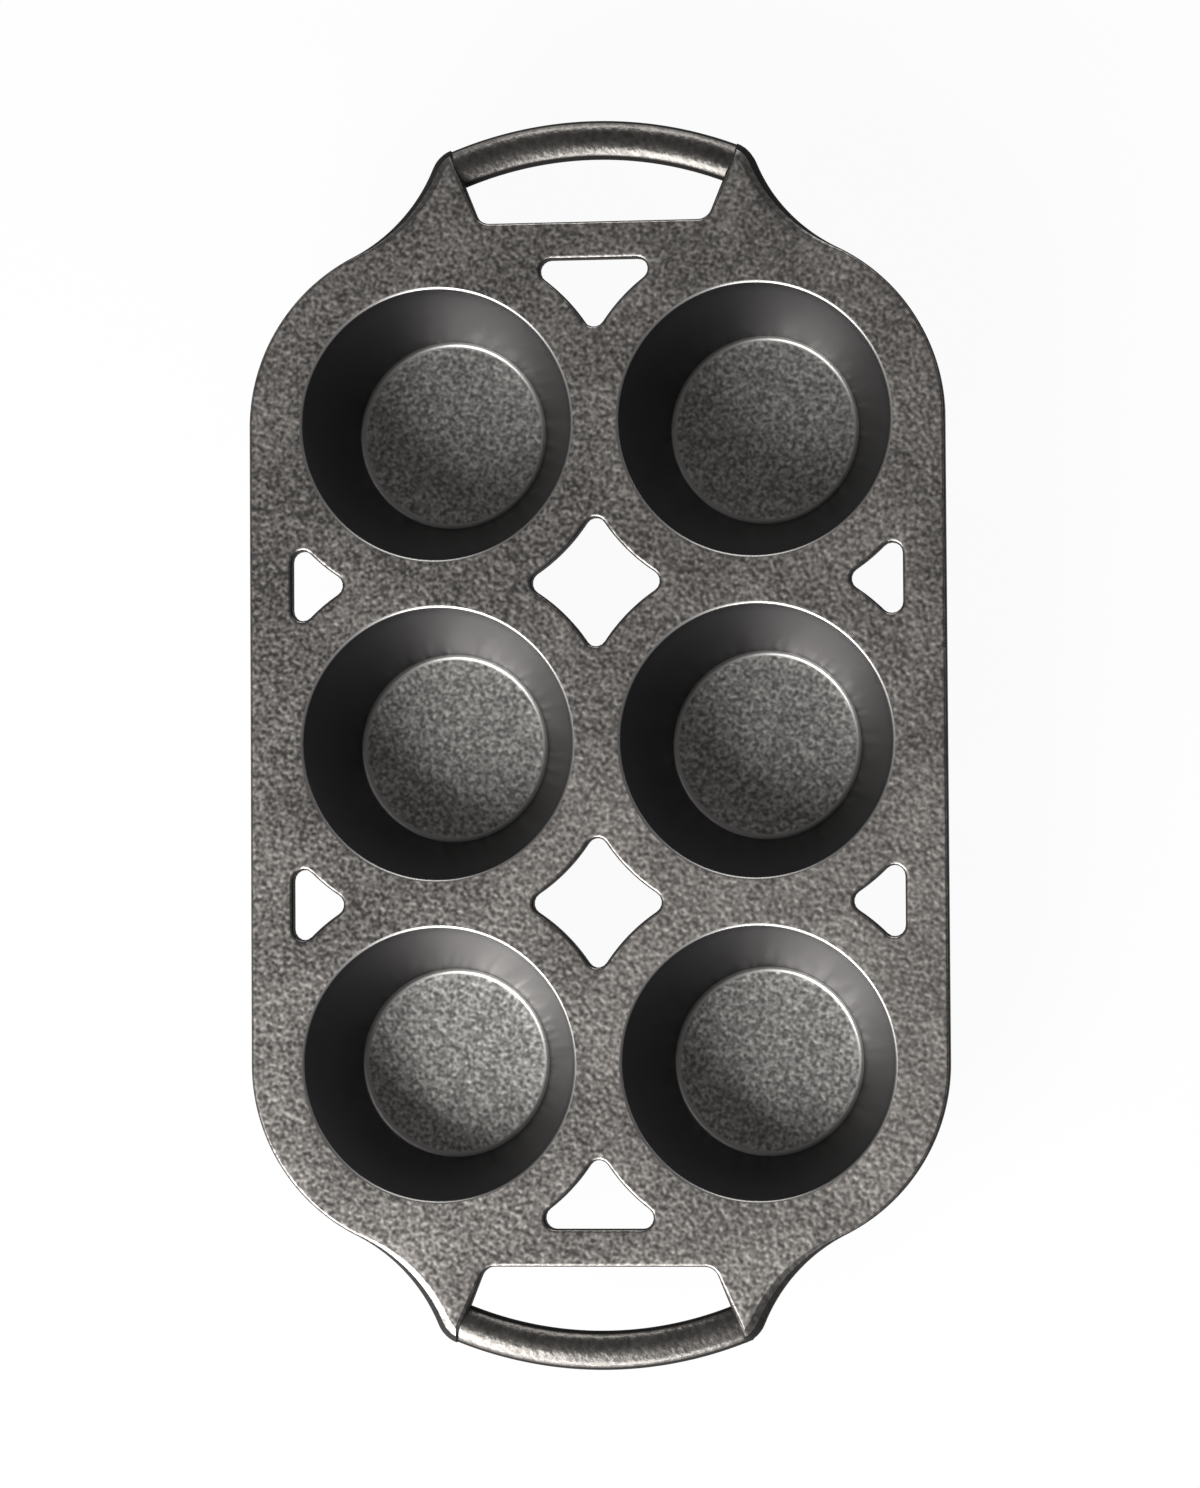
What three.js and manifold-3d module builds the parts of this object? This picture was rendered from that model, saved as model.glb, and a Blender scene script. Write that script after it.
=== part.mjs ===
// Cast iron muffin pan: tapered cups under a flat deck, with an arched grip at each end.
// Millimetres, +Z up, +Y along the pan. The origin is under the pan's centre, level with the cup feet.
import * as THREE from 'three';
import { mergeVertices } from 'three/addons/utils/BufferGeometryUtils.js';
import Module from 'manifold-3d';

const wasm = await Module();
wasm.setup();

// Cups
const COLUMN_NAMES = ['left', 'right'];
const ROW_NAMES = ['front', 'middle', 'rear'];
const CUP_PITCH = 86.9;
const CUP_DEPTH = 33;
const MOUTH_RADIUS = 37.1;
const MOUTH_ROUND = 1;
const FLOOR_RADIUS = 25.65;
const FLOOR_FILLET = 2;
const CUP_WALL = 4;
const CUP_FLOOR = 4.5;
const FOOT_ROUND = 3;
const DECK_FILLET = 2.5; // between a cup's outside and the deck's underside

// Deck
const DECK_THICKNESS = 5;
const DECK_MARGIN = 51.55; // from the outer cups' centres to the deck's edge
const EDGE_ROUND = 1.1;
const UNDER_ROUND = 0.5; // of the underside's edges

// Relief openings between the cups
const RELIEF_RADIUS = 49.2; // from a cup's centre to the curved side of an opening
const RELIEF_CORNER = 3;
const SIDE_RAIL = 11.6; // deck left outside a side opening
const CROSSBAR = 10.1; // deck left between an end opening and the grip slot

// Grips and the horns that carry them
const SLOT_OFFSET = 54.6; // from the end cups' centres to the slot's straight edge
const SLOT_DEPTH = 17.4; // from that edge to the grip's inner crown
const SLOT_CORNER = 4;
const GRIP_INNER_RADIUS = 96.2;
const GRIP_WIDTH = 10.6;
const GRIP_HEIGHT = 8.5;
const GRIP_DROP = 1; // from the deck's top down to the grip's crest
const GRIP_SPAN = 74.7; // between the horns, along the grip's middle line
const GRIP_SEAT_GAP = 0.3;
const HORN_SWEEP_RADIUS = 46.8; // hollow curve from the deck's corner out to the horn
const HORN_KNUCKLE_RADIUS = 8.7; // bend from the horn into the grip
const HORN_BEVEL_WIDTH = 4; // worn shoulder of the horn, where it meets the grip
const HORN_BEVEL_DROP = 2.5;
const SEAT_BEVEL_WIDTH = 1.5; // worn edge of the horn beside the grip, at the horn's tip
const BEVEL_POWER = 1.6; // 1 would round an edge evenly and 2 cut it straight
const HORN_RIB_WIDTH = 8; // rib under the horn, where it meets the grip
const HORN_RIB_DEPTH = 4.5;

// Facets
const CUP_FACETS = 36;
const ARC_STEP = THREE.MathUtils.degToRad(7);
const TIGHT_ARC_STEP = THREE.MathUtils.degToRad(14);
const RELIEF_CORNER_STEP = THREE.MathUtils.degToRad(28);
const ROUND_STEPS = 2;
const UNDER_ROUND_STEPS = 1;
const RIB_SIDES = 6;
const GRIP_SIDES = 18;
const GRIP_STEPS = 14;
const CUT_OVERSHOOT = 0.02; // lets a cutter break through a face
const ROUNDING_SLACK = 1e-6; // keeps a whole number of steps whole

// Worked out from the sizes above
const HEIGHT = CUP_FLOOR + CUP_DEPTH;
const DECK_UNDERSIDE = HEIGHT - DECK_THICKNESS;
const CUP_DRAFT = (MOUTH_RADIUS - FLOOR_RADIUS) / CUP_DEPTH;
const CUP_X = ((COLUMN_NAMES.length - 1) / 2) * CUP_PITCH;
const CUP_Y = ((ROW_NAMES.length - 1) / 2) * CUP_PITCH;
const SLOT_Y = CUP_Y + SLOT_OFFSET;
const GRIP_RADIUS = GRIP_INNER_RADIUS + GRIP_WIDTH / 2;
const GRIP_OUTER_RADIUS = GRIP_INNER_RADIUS + GRIP_WIDTH;
const GRIP_CENTRE_Y = SLOT_Y + SLOT_DEPTH - GRIP_INNER_RADIUS;
const GRIP_HALF_ANGLE = Math.asin(GRIP_SPAN / 2 / GRIP_RADIUS);
const TIP_REACH = 2.4 * SEAT_BEVEL_WIDTH; // stretch of the horn's edge that makes way for the seat's bevel

const { lerp, euclideanModulo } = THREE.MathUtils;
const vec = (x, y) => new THREE.Vector2(x, y);
const direction = (angle) => vec(Math.cos(angle), Math.sin(angle));
const halfTurnWrap = (angle) => euclideanModulo(angle + Math.PI, 2 * Math.PI) - Math.PI;
const columnX = (column) => column * CUP_PITCH - CUP_X;
const rowY = (row) => row * CUP_PITCH - CUP_Y;
const cupInnerRadius = (z) => FLOOR_RADIUS + (z - CUP_FLOOR) * CUP_DRAFT;

// Points of an arc between two angles, both ends included.
function arcPoints(centre, radius, from, to, step = ARC_STEP) {
  const count = Math.max(1, Math.ceil(Math.abs(to - from) / step - ROUNDING_SLACK));
  const angles = Array.from({ length: count + 1 }, (_, i) => lerp(from, to, i / count));
  return angles.map((angle) => direction(angle).multiplyScalar(radius).add(centre));
}

// Points of the shorter arc about a centre, from beside one point to beside another.
function arcBetween(centre, radius, start, end, step) {
  const from = start.clone().sub(centre).angle();
  const sweep = halfTurnWrap(end.clone().sub(centre).angle() - from);
  return arcPoints(centre, radius, from, from + sweep, step);
}

// An open line through corners [x, y, rounding], with each rounding drawn as an arc.
function roundedLine(corners) {
  return corners.flatMap(([x, y, radius], i) => {
    const corner = vec(x, y);
    if (!radius) return [corner];
    const back = vec(...corners[i - 1]).sub(corner).normalize();
    const ahead = vec(...corners[i + 1]).sub(corner).normalize();
    const half = Math.acos(back.dot(ahead)) / 2;
    const middle = back.clone().add(ahead).normalize();
    const centre = corner.clone().addScaledVector(middle, radius / Math.sin(half));
    const start = corner.clone().addScaledVector(back, radius / Math.tan(half));
    const end = corner.clone().addScaledVector(ahead, radius / Math.tan(half));
    return arcBetween(centre, radius, start, end, (Math.PI - 2 * half) / ROUND_STEPS);
  });
}

// A closed solid from a geometry, with shared vertices merged and empty triangles dropped.
function solidFrom(geometry) {
  const bare = new THREE.BufferGeometry();
  bare.setAttribute('position', geometry.getAttribute('position'));
  bare.setIndex(geometry.index);
  const merged = mergeVertices(bare);
  const corners = merged.index.array;
  const triangles = [];
  for (let i = 0; i < corners.length; i += 3) {
    const [a, b, c] = corners.subarray(i, i + 3);
    if (a !== b && b !== c && c !== a) triangles.push(a, b, c);
  }
  const vertProperties = merged.getAttribute('position').array;
  const triVerts = new Uint32Array(triangles);
  return new wasm.Manifold(new wasm.Mesh({ numProp: 3, vertProperties, triVerts }));
}

// A named mesh from a closed solid.
function piece(name, solid, material) {
  const { vertProperties, triVerts } = solid.getMesh();
  const geometry = new THREE.BufferGeometry();
  geometry.setAttribute('position', new THREE.BufferAttribute(vertProperties, 3));
  geometry.setIndex(new THREE.BufferAttribute(triVerts, 1));
  geometry.computeVertexNormals();
  const mesh = new THREE.Mesh(geometry, material);
  mesh.name = name;
  return mesh;
}

// A solid turned about +Z from a profile of (radius, height) points.
function turned(profile) {
  return new THREE.LatheGeometry(profile, CUP_FACETS).rotateX(Math.PI / 2);
}

// A solid drawn through rings of equal count, with each end closed round the middle of its ring.
// Every ring runs anticlockwise as seen from the end that the rings move towards.
function loft(rings) {
  const sides = rings[0].length;
  const middles = [rings[0], rings.at(-1)].map((ring) =>
    ring.reduce((sum, point) => sum.add(point), new THREE.Vector3()).divideScalar(sides));
  const geometry = new THREE.BufferGeometry().setFromPoints([...rings.flat(), ...middles]);
  const lastRing = (rings.length - 1) * sides;
  const startMiddle = rings.length * sides;
  const endMiddle = startMiddle + 1;
  const index = [];
  for (let side = 0; side < sides; side += 1) {
    const next = (side + 1) % sides;
    index.push(startMiddle, next, side, endMiddle, lastRing + side, lastRing + next);
    for (let ring = 0; ring < lastRing; ring += sides) {
      index.push(ring + side, ring + next, ring + sides + next);
      index.push(ring + side, ring + sides + next, ring + sides + side);
    }
  }
  return geometry.setIndex(index);
}

// The steps of a rounded or bevelled edge, from the face beside it to the wall: how far each lies in and down.
function edgeSteps(count, width, depth = width, power = 1) {
  const angles = Array.from({ length: count + 1 }, (_, i) => (Math.PI / 2) * (i / count));
  return angles.map((angle) => ({
    inset: width * (1 - Math.sin(angle) ** power),
    drop: depth * (1 - Math.cos(angle) ** power),
  }));
}

// The horn's outer edge, from the deck's corner arc to the grip: a hollow arc that touches the corner arc,
// then a knuckle arc that touches the hollow arc and ends along the grip's outer edge.
function hornEdge() {
  const cup = vec(CUP_X, CUP_Y);
  const knuckleReach = GRIP_OUTER_RADIUS - HORN_KNUCKLE_RADIUS;
  const tipAngle = Math.PI / 2 - GRIP_HALF_ANGLE;
  const knuckle = direction(tipAngle).multiplyScalar(knuckleReach).add(vec(0, GRIP_CENTRE_Y));
  const fromCup = DECK_MARGIN + HORN_SWEEP_RADIUS;
  const fromKnuckle = HORN_KNUCKLE_RADIUS + HORN_SWEEP_RADIUS;
  const line = knuckle.clone().sub(cup);
  const along = (fromCup ** 2 - fromKnuckle ** 2 + line.lengthSq()) / (2 * line.length());
  const aside = Math.sqrt(fromCup ** 2 - along ** 2);
  const unit = line.clone().normalize();
  const hollow = cup.clone().addScaledVector(unit, along).addScaledVector(vec(unit.y, -unit.x), aside);
  const tip = knuckle.clone().add(direction(tipAngle));

  const hollowPoints = arcBetween(hollow, HORN_SWEEP_RADIUS, cup, knuckle);
  const knucklePoints = arcBetween(knuckle, HORN_KNUCKLE_RADIUS, hollow, tip, TIGHT_ARC_STEP).slice(1);
  const samples = [
    ...hollowPoints.map((point) => ({ point, normal: hollow.clone().sub(point).normalize() })),
    ...knucklePoints.map((point) => ({ point, normal: point.clone().sub(knuckle).normalize() })),
  ];
  let travel = 0;
  samples.forEach((sample, i) => {
    if (i > 0) travel += sample.point.distanceTo(samples[i - 1].point);
    sample.travel = travel;
  });
  samples.forEach((sample) => {
    sample.share = sample.travel / travel;
  });
  return { cornerEnd: hollow.clone().sub(cup).angle(), samples, length: travel };
}

// One level of the deck's edge: the outline moved in and down by a step of its rounding, which grows along each
// horn to a step of the bevel at the tip. One quarter is mirrored across X and turned half round.
function deckLevel(horn, edge, bevel, seatInset, face, away) {
  const place = ({ x, y }, drop) => new THREE.Vector3(x, y, face + away * drop);
  const corner = arcPoints(vec(CUP_X, CUP_Y), DECK_MARGIN - edge.inset, 0, horn.cornerEnd)
    .map((point) => place(point, edge.drop));
  const along = vec(Math.sin(GRIP_HALF_ANGLE), Math.cos(GRIP_HALF_ANGLE));
  const aside = vec(along.y, -along.x);
  const shoulder = horn.samples.slice(1).map(({ point, normal, travel, share }) => {
    const growth = Math.sin((share * Math.PI) / 2);
    const makeWay = seatInset * Math.max(0, 1 - (horn.length - travel) / TIP_REACH);
    const moved = point.clone()
      .addScaledVector(normal, -lerp(edge.inset, bevel.inset, growth))
      .addScaledVector(aside, makeWay);
    return place(moved, lerp(edge.drop, bevel.drop, growth));
  });

  const seat = aside.clone().multiplyScalar(edge.inset).add(vec(0, GRIP_CENTRE_Y));
  const slotEdge = SLOT_Y - edge.inset;
  const slotCorner = seat.clone().addScaledVector(along, (slotEdge - seat.y) / along.y);
  const slot = roundedLine([
    [slotCorner.x + along.x, slotCorner.y + along.y, 0],
    [slotCorner.x, slotCorner.y, SLOT_CORNER + edge.inset],
    [0, slotEdge, 0],
  ]).slice(1, -1);

  const quarter = [...corner, ...shoulder, ...slot.map((point) => place(point, edge.drop))];
  const mirrored = quarter.map(({ x, y, z }) => new THREE.Vector3(-x, y, z)).reverse();
  const half = [...quarter, ...mirrored];
  return [...half, ...half.map(({ x, y, z }) => new THREE.Vector3(-x, -y, z))];
}

// The flat plate with its horns, rounded along its edges.
function plate(horn) {
  const lower = edgeSteps(UNDER_ROUND_STEPS, UNDER_ROUND)
    .map((step) => deckLevel(horn, step, step, step.inset, DECK_UNDERSIDE, 1));
  const bevel = edgeSteps(ROUND_STEPS, HORN_BEVEL_WIDTH, HORN_BEVEL_DROP, BEVEL_POWER);
  const seat = edgeSteps(ROUND_STEPS, SEAT_BEVEL_WIDTH, HORN_BEVEL_DROP, BEVEL_POWER);
  const upper = edgeSteps(ROUND_STEPS, EDGE_ROUND)
    .map((step, i) => deckLevel(horn, step, bevel[i], seat[i].inset, HEIGHT, -1));
  return loft([...lower, ...upper.reverse()]);
}

// The rib under one horn, growing from nothing at the deck's corner to the depth of the grip.
function hornRib(horn, mirror) {
  const rings = horn.samples.slice(1).map(({ point, normal, share }) =>
    Array.from({ length: RIB_SIDES + 1 }, (_, side) => {
      const section = direction(Math.PI + (Math.PI * side) / RIB_SIDES);
      const reach = UNDER_ROUND + (share * HORN_RIB_WIDTH * (1 + mirror * section.x)) / 2;
      const plan = point.clone().addScaledVector(normal, -reach);
      const z = DECK_UNDERSIDE + UNDER_ROUND + section.y * (UNDER_ROUND + share * HORN_RIB_DEPTH);
      return new THREE.Vector3(mirror * plan.x, plan.y, z);
    }));
  return loft(rings);
}

// A relief outline round the middles of its corners.
// Each side follows a cup, or is straight where that is null.
function reliefOutline(corners, cups, grow) {
  return corners.flatMap((corner, i) => {
    const next = corners[(i + 1) % corners.length];
    const above = corner.clone().add(vec(0, 1));
    const rounding = arcBetween(
      corner,
      RELIEF_CORNER + grow,
      cups.at(i - 1) ?? above,
      cups[i] ?? above,
      RELIEF_CORNER_STEP,
    );
    if (!cups[i]) return rounding;
    const side = arcBetween(cups[i], RELIEF_RADIUS - grow, corner, next);
    return [...rounding, ...side.slice(1, -1)];
  });
}

// How far the middle of a relief corner between two neighbouring cups lies from the line through them.
function reliefApex() {
  return Math.sqrt((RELIEF_RADIUS + RELIEF_CORNER) ** 2 - (CUP_PITCH / 2) ** 2);
}

// The four-sided opening between four cups, about its own middle.
function diamondOutline(grow) {
  const half = CUP_PITCH / 2;
  const tip = half - reliefApex();
  const corners = [vec(tip, 0), vec(0, tip), vec(-tip, 0), vec(0, -tip)];
  const cups = [vec(half, half), vec(-half, half), vec(-half, -half), vec(half, -half)];
  return reliefOutline(corners, cups, grow);
}

// The three-sided opening beside two cups that lie on the X axis, with its straight side away from them.
function triangleOutline(straightSide, grow) {
  const half = CUP_PITCH / 2;
  const cornerY = straightSide - RELIEF_CORNER;
  const cornerX = half - Math.sqrt((RELIEF_RADIUS + RELIEF_CORNER) ** 2 - cornerY ** 2);
  const corners = [vec(0, reliefApex()), vec(cornerX, cornerY), vec(-cornerX, cornerY)];
  return reliefOutline(corners, [vec(half, 0), null, vec(-half, 0)], grow);
}

// A cutter for one relief opening, flared to round the deck's edges above and below.
function reliefCutter(outline) {
  const level = (grow, z) => outline(grow).map(({ x, y }) => new THREE.Vector3(x, y, z));
  const [lowest, ...lower] = edgeSteps(UNDER_ROUND_STEPS, UNDER_ROUND)
    .map(({ inset, drop }) => ({ grow: inset, z: DECK_UNDERSIDE + drop }));
  const [highest, ...upper] = edgeSteps(ROUND_STEPS, EDGE_ROUND)
    .map(({ inset, drop }) => ({ grow: inset, z: HEIGHT - drop }));
  lowest.z -= CUT_OVERSHOOT;
  highest.z += CUT_OVERSHOOT;
  return loft([lowest, ...lower, ...upper.reverse(), highest].map(({ grow, z }) => level(grow, z)));
}

// The cutters of all relief openings: between four cups, at the sides and at the ends.
function reliefCutters() {
  const columnGaps = COLUMN_NAMES.slice(1).map((_, i) => columnX(i) + CUP_PITCH / 2);
  const rowGaps = ROW_NAMES.slice(1).map((_, i) => rowY(i) + CUP_PITCH / 2);
  const sideOutline = (grow) => triangleOutline(DECK_MARGIN - SIDE_RAIL, grow);
  const endOutline = (grow) => triangleOutline(SLOT_OFFSET - CROSSBAR, grow);
  const diamonds = columnGaps.flatMap((x) => rowGaps.map((y) =>
    reliefCutter(diamondOutline).translate(x, y, 0)));
  const sides = rowGaps.flatMap((y) => [1, -1].map((end) =>
    reliefCutter(sideOutline).rotateZ((-end * Math.PI) / 2).translate(end * CUP_X, y, 0)));
  const ends = columnGaps.flatMap((x) => [0, Math.PI].map((angle) =>
    reliefCutter(endOutline).translate(x, CUP_Y, 0).rotateZ(angle)));
  return [...diamonds, ...sides, ...ends];
}

// The cutter for one cup's mouth: the cup's taper through the deck, with a rounded upper edge.
function mouthCutter() {
  const bottom = DECK_UNDERSIDE - DECK_THICKNESS;
  const top = HEIGHT + CUT_OVERSHOOT;
  const side = roundedLine([
    [cupInnerRadius(bottom), bottom, 0],
    [MOUTH_RADIUS, HEIGHT, MOUTH_ROUND],
    [MOUTH_RADIUS + DECK_MARGIN, HEIGHT, 0],
  ]).slice(0, -1);
  side.at(-1).y = top;
  return turned([vec(0, bottom), ...side, vec(0, top)]);
}

// The flat deck with its horns, relief openings and cup mouths.
function deckPlate() {
  const horn = hornEdge();
  let deck = solidFrom(plate(horn));
  for (const mirror of [1, -1]) {
    for (const angle of [0, Math.PI]) {
      deck = deck.add(solidFrom(hornRib(horn, mirror).rotateZ(angle)));
    }
  }
  for (const cutter of reliefCutters()) {
    deck = deck.subtract(solidFrom(cutter));
  }
  for (const column of COLUMN_NAMES.keys()) {
    for (const row of ROW_NAMES.keys()) {
      deck = deck.subtract(solidFrom(mouthCutter().translate(columnX(column), rowY(row), 0)));
    }
  }
  return deck;
}

// One cup: a tapered shell with a flat foot, flared where it meets the deck's underside.
function cupShell() {
  const footRadius = cupInnerRadius(0) + CUP_WALL;
  const neckRadius = cupInnerRadius(DECK_UNDERSIDE) + CUP_WALL;
  const outside = roundedLine([
    [0, 0, 0],
    [footRadius, 0, FOOT_ROUND],
    [neckRadius, DECK_UNDERSIDE, DECK_FILLET],
    [neckRadius + DECK_FILLET, DECK_UNDERSIDE, 0],
  ]).slice(0, -1);
  const inside = roundedLine([
    [cupInnerRadius(DECK_UNDERSIDE), DECK_UNDERSIDE, 0],
    [FLOOR_RADIUS, CUP_FLOOR, FLOOR_FILLET],
    [0, CUP_FLOOR, 0],
  ]);
  return turned([...outside, ...inside]);
}

// One grip: a rounded bar bent to an arc, ending just short of the horns.
function gripBar() {
  const halfAngle = GRIP_HALF_ANGLE - GRIP_SEAT_GAP / GRIP_RADIUS;
  const middleZ = HEIGHT - GRIP_DROP - GRIP_HEIGHT / 2;
  const rings = Array.from({ length: GRIP_STEPS + 1 }, (_, step) => {
    const bearing = lerp(-halfAngle, halfAngle, step / GRIP_STEPS);
    return Array.from({ length: GRIP_SIDES }, (__, side) => {
      const section = direction((2 * Math.PI * side) / GRIP_SIDES);
      const reach = GRIP_RADIUS + (GRIP_WIDTH / 2) * section.x;
      const z = middleZ + (GRIP_HEIGHT / 2) * section.y;
      return new THREE.Vector3(reach * Math.sin(bearing), GRIP_CENTRE_Y + reach * Math.cos(bearing), z);
    });
  });
  return loft(rings);
}

const castSurface = new THREE.MeshStandardMaterial({ color: 0x47443f, roughness: 0.62, metalness: 0.55 });
const cupSurface = new THREE.MeshStandardMaterial({ color: 0x2e2d2c, roughness: 0.5, metalness: 0.55 });
const gripSurface = new THREE.MeshStandardMaterial({ color: 0x55524d, roughness: 0.42, metalness: 0.6 });

const pan = new THREE.Group();
pan.name = 'muffin_pan';
pan.add(piece('deck_plate', deckPlate(), castSurface));
COLUMN_NAMES.forEach((columnName, column) => {
  ROW_NAMES.forEach((rowName, row) => {
    const cup = piece(`cup_${columnName}_${rowName}`, solidFrom(cupShell()), cupSurface);
    cup.position.set(columnX(column), rowY(row), 0);
    pan.add(cup);
  });
});
pan.add(piece('grip_rear', solidFrom(gripBar()), gripSurface));
pan.add(piece('grip_front', solidFrom(gripBar().rotateZ(Math.PI)), gripSurface));

export default pan;
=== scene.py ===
"""A cast iron muffin pan on a white studio table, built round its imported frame. Sizes are in metres."""
import math

import bpy
import numpy as np
from mathutils import Matrix, Vector
from mathutils.geometry import delaunay_2d_cdt
from mathutils.kdtree import KDTree


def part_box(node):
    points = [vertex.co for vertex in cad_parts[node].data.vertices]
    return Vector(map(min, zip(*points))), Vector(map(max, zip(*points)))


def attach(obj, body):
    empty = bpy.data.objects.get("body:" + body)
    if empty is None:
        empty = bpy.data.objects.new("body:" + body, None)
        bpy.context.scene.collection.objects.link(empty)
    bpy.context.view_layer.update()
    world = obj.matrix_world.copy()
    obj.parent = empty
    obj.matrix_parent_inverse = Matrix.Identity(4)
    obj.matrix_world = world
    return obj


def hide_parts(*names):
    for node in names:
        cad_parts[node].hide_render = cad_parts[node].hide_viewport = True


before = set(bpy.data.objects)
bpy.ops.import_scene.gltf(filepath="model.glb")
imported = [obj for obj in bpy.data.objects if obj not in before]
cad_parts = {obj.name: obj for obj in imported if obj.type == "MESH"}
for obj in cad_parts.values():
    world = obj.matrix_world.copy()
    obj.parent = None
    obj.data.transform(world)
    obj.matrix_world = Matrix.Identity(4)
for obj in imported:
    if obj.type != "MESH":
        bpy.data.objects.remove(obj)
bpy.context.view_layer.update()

MM = 0.001

# Places read from the frame
deck_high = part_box("deck_plate")[1]
TOP = deck_high.z
grip_low, grip_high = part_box("grip_rear")
CUP_NODES = [name for name in sorted(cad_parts) if name.startswith("cup_")]
GRIP_NODES = [name for name in sorted(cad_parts) if name.startswith("grip_")]


def middle_of(node):
    """The middle of a node's box, on the table's plane."""
    low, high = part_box(node)
    return Vector(((low.x + high.x) / 2, (low.y + high.y) / 2))


CUP_PLACES = {name: middle_of(name) for name in CUP_NODES}
CUP_X = max(place.x for place in CUP_PLACES.values())
CUP_Y = max(place.y for place in CUP_PLACES.values())
CUP_PITCH = CUP_Y  # the same both ways, with the middle row at y = 0

# Cups
MOUTH_RADIUS = 37.1 * MM
MOUTH_ROUND = 1.0 * MM
FLOOR_RADIUS = 25.65 * MM
FLOOR_FILLET = 2.0 * MM
CUP_WALL = 4.0 * MM
CUP_FLOOR = 4.5 * MM
FOOT_ROUND = 3.0 * MM
DECK_FILLET = 2.5 * MM
CUP_DRAFT = (MOUTH_RADIUS - FLOOR_RADIUS) / (TOP - CUP_FLOOR)

# Deck
DECK_THICKNESS = 5.0 * MM
UNDERSIDE = TOP - DECK_THICKNESS
DECK_MARGIN = deck_high.x - CUP_X
EDGE_ROUND = 1.1 * MM
UNDER_ROUND = 0.5 * MM
RELIEF_RADIUS = 49.2 * MM
RELIEF_CORNER = 3.0 * MM
SIDE_RAIL = 11.6 * MM
CROSSBAR = 10.1 * MM

# Grips and horns
SLOT_OFFSET = 54.6 * MM
SLOT_Y = CUP_Y + SLOT_OFFSET
SLOT_CORNER = 4.0 * MM
GRIP_INNER_RADIUS = 96.2 * MM
GRIP_WIDTH = 10.6 * MM
GRIP_RADIUS = GRIP_INNER_RADIUS + GRIP_WIDTH / 2
GRIP_OUTER_RADIUS = GRIP_INNER_RADIUS + GRIP_WIDTH
GRIP_CENTRE_Y = grip_high.y - GRIP_OUTER_RADIUS
GRIP_SPAN = 74.7 * MM
GRIP_HALF_ANGLE = math.asin(GRIP_SPAN / 2 / GRIP_RADIUS)
GRIP_SINK = 2.0 * MM
HORN_SWEEP_RADIUS = 46.8 * MM
HORN_KNUCKLE_RADIUS = 8.7 * MM
HORN_BEVEL_WIDTH = 4.0 * MM
HORN_BEVEL_DROP = 2.5 * MM
SEAT_BEVEL_WIDTH = 1.5 * MM
BEVEL_POWER = 1.6  # 1 would round an edge evenly and 2 cut it straight
TIP_REACH = 2.4 * SEAT_BEVEL_WIDTH
HORN_RIB_WIDTH = 8.0 * MM
HORN_RIB_DEPTH = 4.5 * MM

# Fineness of the meshes
CUP_SEGMENTS = 144
ARC_LENGTH = 1.2 * MM
ROUND_STEPS = 6
UNDER_STEPS = 2
SEAT_STEPS = 12
SLOT_STEPS = 16
RELIEF_STEPS = 14
# Painted shade: the last steps of each rounding are as black as the side walls, which widens the dark outline
DARK_STEPS = 3  # the last steps of a rounding, which are as dark as the wall below
MESH_STEP = 2.6 * MM
BORDER_CLEARANCE = 0.6 * MESH_STEP
TRIANGLES_WITH_HOLES = 2  # the kind of result asked of the triangulation
SAME_POINT = 1e-7  # points of a triangulation that lie closer than this are one
GRIP_STEPS = 72
GRIP_SIDES = 40
TURNING_RADIUS = 10 * MM  # of the circle that a cup's profile is swept along
MERGE_DISTANCE = 0.001 * MM
SHARP_ANGLE = math.radians(40)

# Patterns of the finishes, with their scales in grains or patches to a metre
DECK_GRAIN = 660.0
CUP_GRAIN = 690.0
SPECK_RATIO = 1.5  # specks to a grain
DECK_PATCHES = 45.0
GRIP_PATCHES = 60.0
# Painted light: a slow change of tone across the deck that lightens it towards the front right
PAINTED_LIGHT = 6.0
PAINTED_LIGHT_SHIFT = (0.5, 0.35, 0)
PAINTED_LIGHT_MIDDLE = 0.44
PAINTED_LIGHT_STRENGTH = 0.41
NOISE_MIDDLE = 0.5
NOISE_TURN = (0.7, 0.5, 0.4)
DECK_CONTRAST = 1.5  # above 1, most of the grains are dark
CUP_CONTRAST = 1.4

# Colours of the finishes, each from its darkest grain to its lightest
DECK_CAST = ((0.069, 0.0647, 0.0608), (0.4175, 0.391, 0.368))
DECK_WORN = ((0.151, 0.1436, 0.136), (0.386, 0.367, 0.348))
CUP_BASE = ((0.226, 0.2184, 0.2086), (0.866, 0.839, 0.799))
CUP_OUTSIDE = ((0.018, 0.017, 0.016), (0.075, 0.07, 0.066))
# The edge colours are the black of seasoned iron, darkened further as painted shade along the outline
EDGE_BLACK_AND_SHADE = ((0.01, 0.009, 0.009), (0.026, 0.024, 0.022))
GRIP_WORN = ((0.086, 0.0797, 0.0743), (0.22, 0.2074, 0.1953))

# Plain colours of the finishes
WALL_BLACK = (0.115, 0.112, 0.118)
FILLET_GREY = (0.46, 0.45, 0.435)
# The grip's black is painted shade at its sides and underneath
GRIP_SHADE_BLACK = (0.012, 0.011, 0.01)

# Sockets of the Mix node for colours, which share their names with others
MIX_FIRST = 6
MIX_SECOND = 7
MIX_RESULT = 2

# Studio
TABLE_HALF = 40.0
TABLE_GREY = 0.9
TABLE_WHITENESS = 0.95  # the share of the table's look that no shadow darkens
WORLD_STRENGTH = 0.12

# Camera: where it stands, the point of the deck's top that it looks at, and its turn about that line
CAMERA_PLACE = Vector((191.2 * MM, -63.3 * MM, TOP + 1487.5 * MM))
CAMERA_AIM = Vector((1.13 * MM, -0.59 * MM, TOP))
CAMERA_ROLL = math.radians(0.349)
CAMERA_LENS = 134.36
SENSOR_HEIGHT = 36.0


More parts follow.
